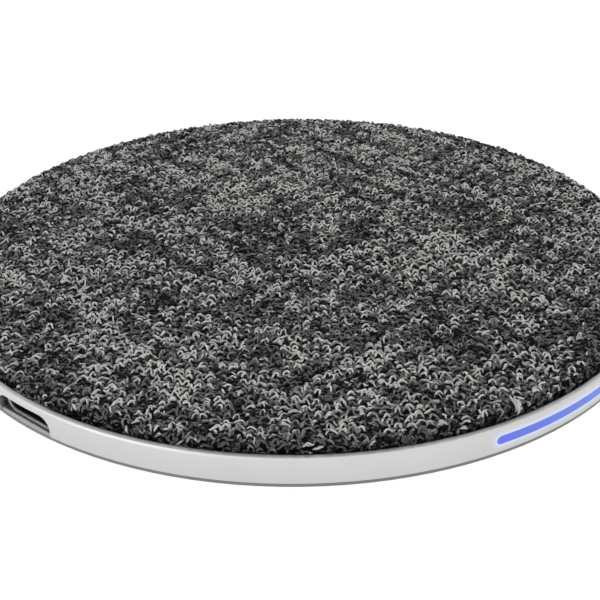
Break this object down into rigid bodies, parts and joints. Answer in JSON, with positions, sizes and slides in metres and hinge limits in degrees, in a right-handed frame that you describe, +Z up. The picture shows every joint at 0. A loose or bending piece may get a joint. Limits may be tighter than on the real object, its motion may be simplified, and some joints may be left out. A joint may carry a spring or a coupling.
{
  "type": "wireless charging pad",
  "caption": "Thin round charging pad: heathered cloth top in a satin metal rim with a lit bar, a small socket and an anti-slip foot ring.",
  "frame": {"origin": "centre of the anti-slip ring's underside, on the surface that the pad stands on", "axes": "+Z up through the charging surface; the socket faces -X and the middle of the light bar faces -Y"},
  "size_m": [0.11, 0.11, 0.0074],
  "materials": {
    "melange_fabric": "coarse heathered knit, black and light grey yarns",
    "glue_film": "thin clear glue film",
    "black_plastic": "moulded black ABS",
    "satin_aluminium": "bead-blasted and anodised, polished bevel",
    "lit_blue_plastic": "milky diffuser, lit blue",
    "clear_plastic": "clear moulded light guide",
    "white_package": "white lamp package",
    "enamelled_copper": "stranded copper wire, enamelled",
    "black_sleeve": "insulating sleeve over stranded wire",
    "amber_tape": "amber film tape",
    "ferrite": "sintered ferrite, matt dark grey",
    "white_tape": "double-sided tape",
    "sensor_coating": "dipped epoxy bead",
    "board_laminate": "green solder mask",
    "black_epoxy": "moulded epoxy package",
    "tan_ceramic": "fired ceramic with tinned ends",
    "brown_ceramic": "fired ceramic with tinned ends",
    "solder": "bright solder",
    "plated_steel": "nickel-plated steel sheet",
    "black_resin": "glass-filled resin",
    "gold_plating": "gold-plated contacts",
    "grey_plastic": "moulded dark grey ABS, fine texture",
    "zinc_plated_steel": "zinc-plated steel",
    "black_silicone": "matt silicone rubber"
  },
  "bodies": {
    "root": {"fabric_cover": "melange_fabric", "fabric_adhesive": "glue_film", "top_plate": "black_plastic", "rim": "satin_aluminium", "light_window": "lit_blue_plastic", "light_guide": "clear_plastic", "indicator_leds": "white_package", "charging_coil": "enamelled_copper", "coil_leads": "black_sleeve", "coil_tape": "amber_tape", "ferrite_plate": "ferrite", "ferrite_tape": "white_tape", "temperature_sensor": "sensor_coating", "circuit_board": "board_laminate", "controller_chip": "black_epoxy", "bridge_transistors": "black_epoxy", "resonant_capacitors": "tan_ceramic", "input_capacitors": "brown_ceramic", "sense_resistor": "black_epoxy", "voltage_regulator": "black_epoxy", "chip_resistors": "black_epoxy", "chip_capacitors": "tan_ceramic", "solder_joints": "solder", "usb_shell": "plated_steel", "usb_insulator": "black_resin", "usb_contacts": "gold_plating", "base_cover": "grey_plastic", "board_screws": "zinc_plated_steel", "base_screws": "zinc_plated_steel", "anti_slip_ring": "black_silicone"}
  },
  "joints": []
}
